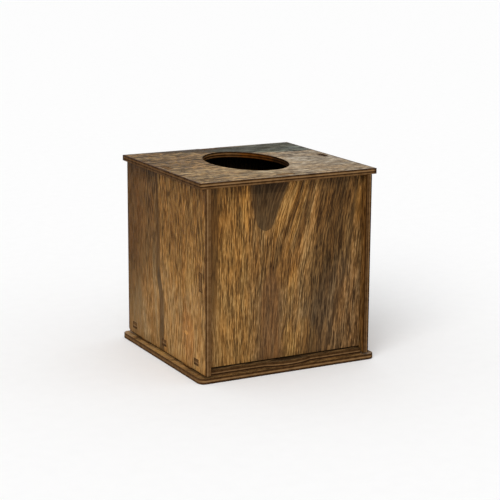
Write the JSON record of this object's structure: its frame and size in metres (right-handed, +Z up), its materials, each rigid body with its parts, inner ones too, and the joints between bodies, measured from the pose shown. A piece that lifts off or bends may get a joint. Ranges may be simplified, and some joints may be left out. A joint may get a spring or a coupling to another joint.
{
  "type": "cube tissue box cover",
  "caption": "Slotted plywood cover for a cube tissue box, with an oval mouth in the top, an open base frame and a floor plate that slides out at the front.",
  "frame": {"origin": "middle of the underside of the base frame", "axes": "+X to the right seen from the front, -Y towards the front where the floor slides out, +Z up"},
  "size_m": [0.14, 0.134, 0.139],
  "materials": {
    "top_ply": "satin brown stain",
    "side_ply": "satin brown stain",
    "front_ply": "satin brown stain",
    "base_ply": "satin brown stain",
    "floor_ply": "satin brown stain"
  },
  "bodies": {
    "box": {"top_panel": "top_ply", "left_side_panel": "side_ply", "right_side_panel": "side_ply", "front_panel": "front_ply", "back_panel": "front_ply", "base_frame": "base_ply", "left_runner": "floor_ply", "right_runner": "floor_ply"},
    "floor": {"sliding_floor": "floor_ply"}
  },
  "joints": [
    {"name": "floor_slide", "type": "slide", "parent": "box", "child": "floor", "axis": [0, -1, 0], "range_m": [0, 0.115]}
  ]
}
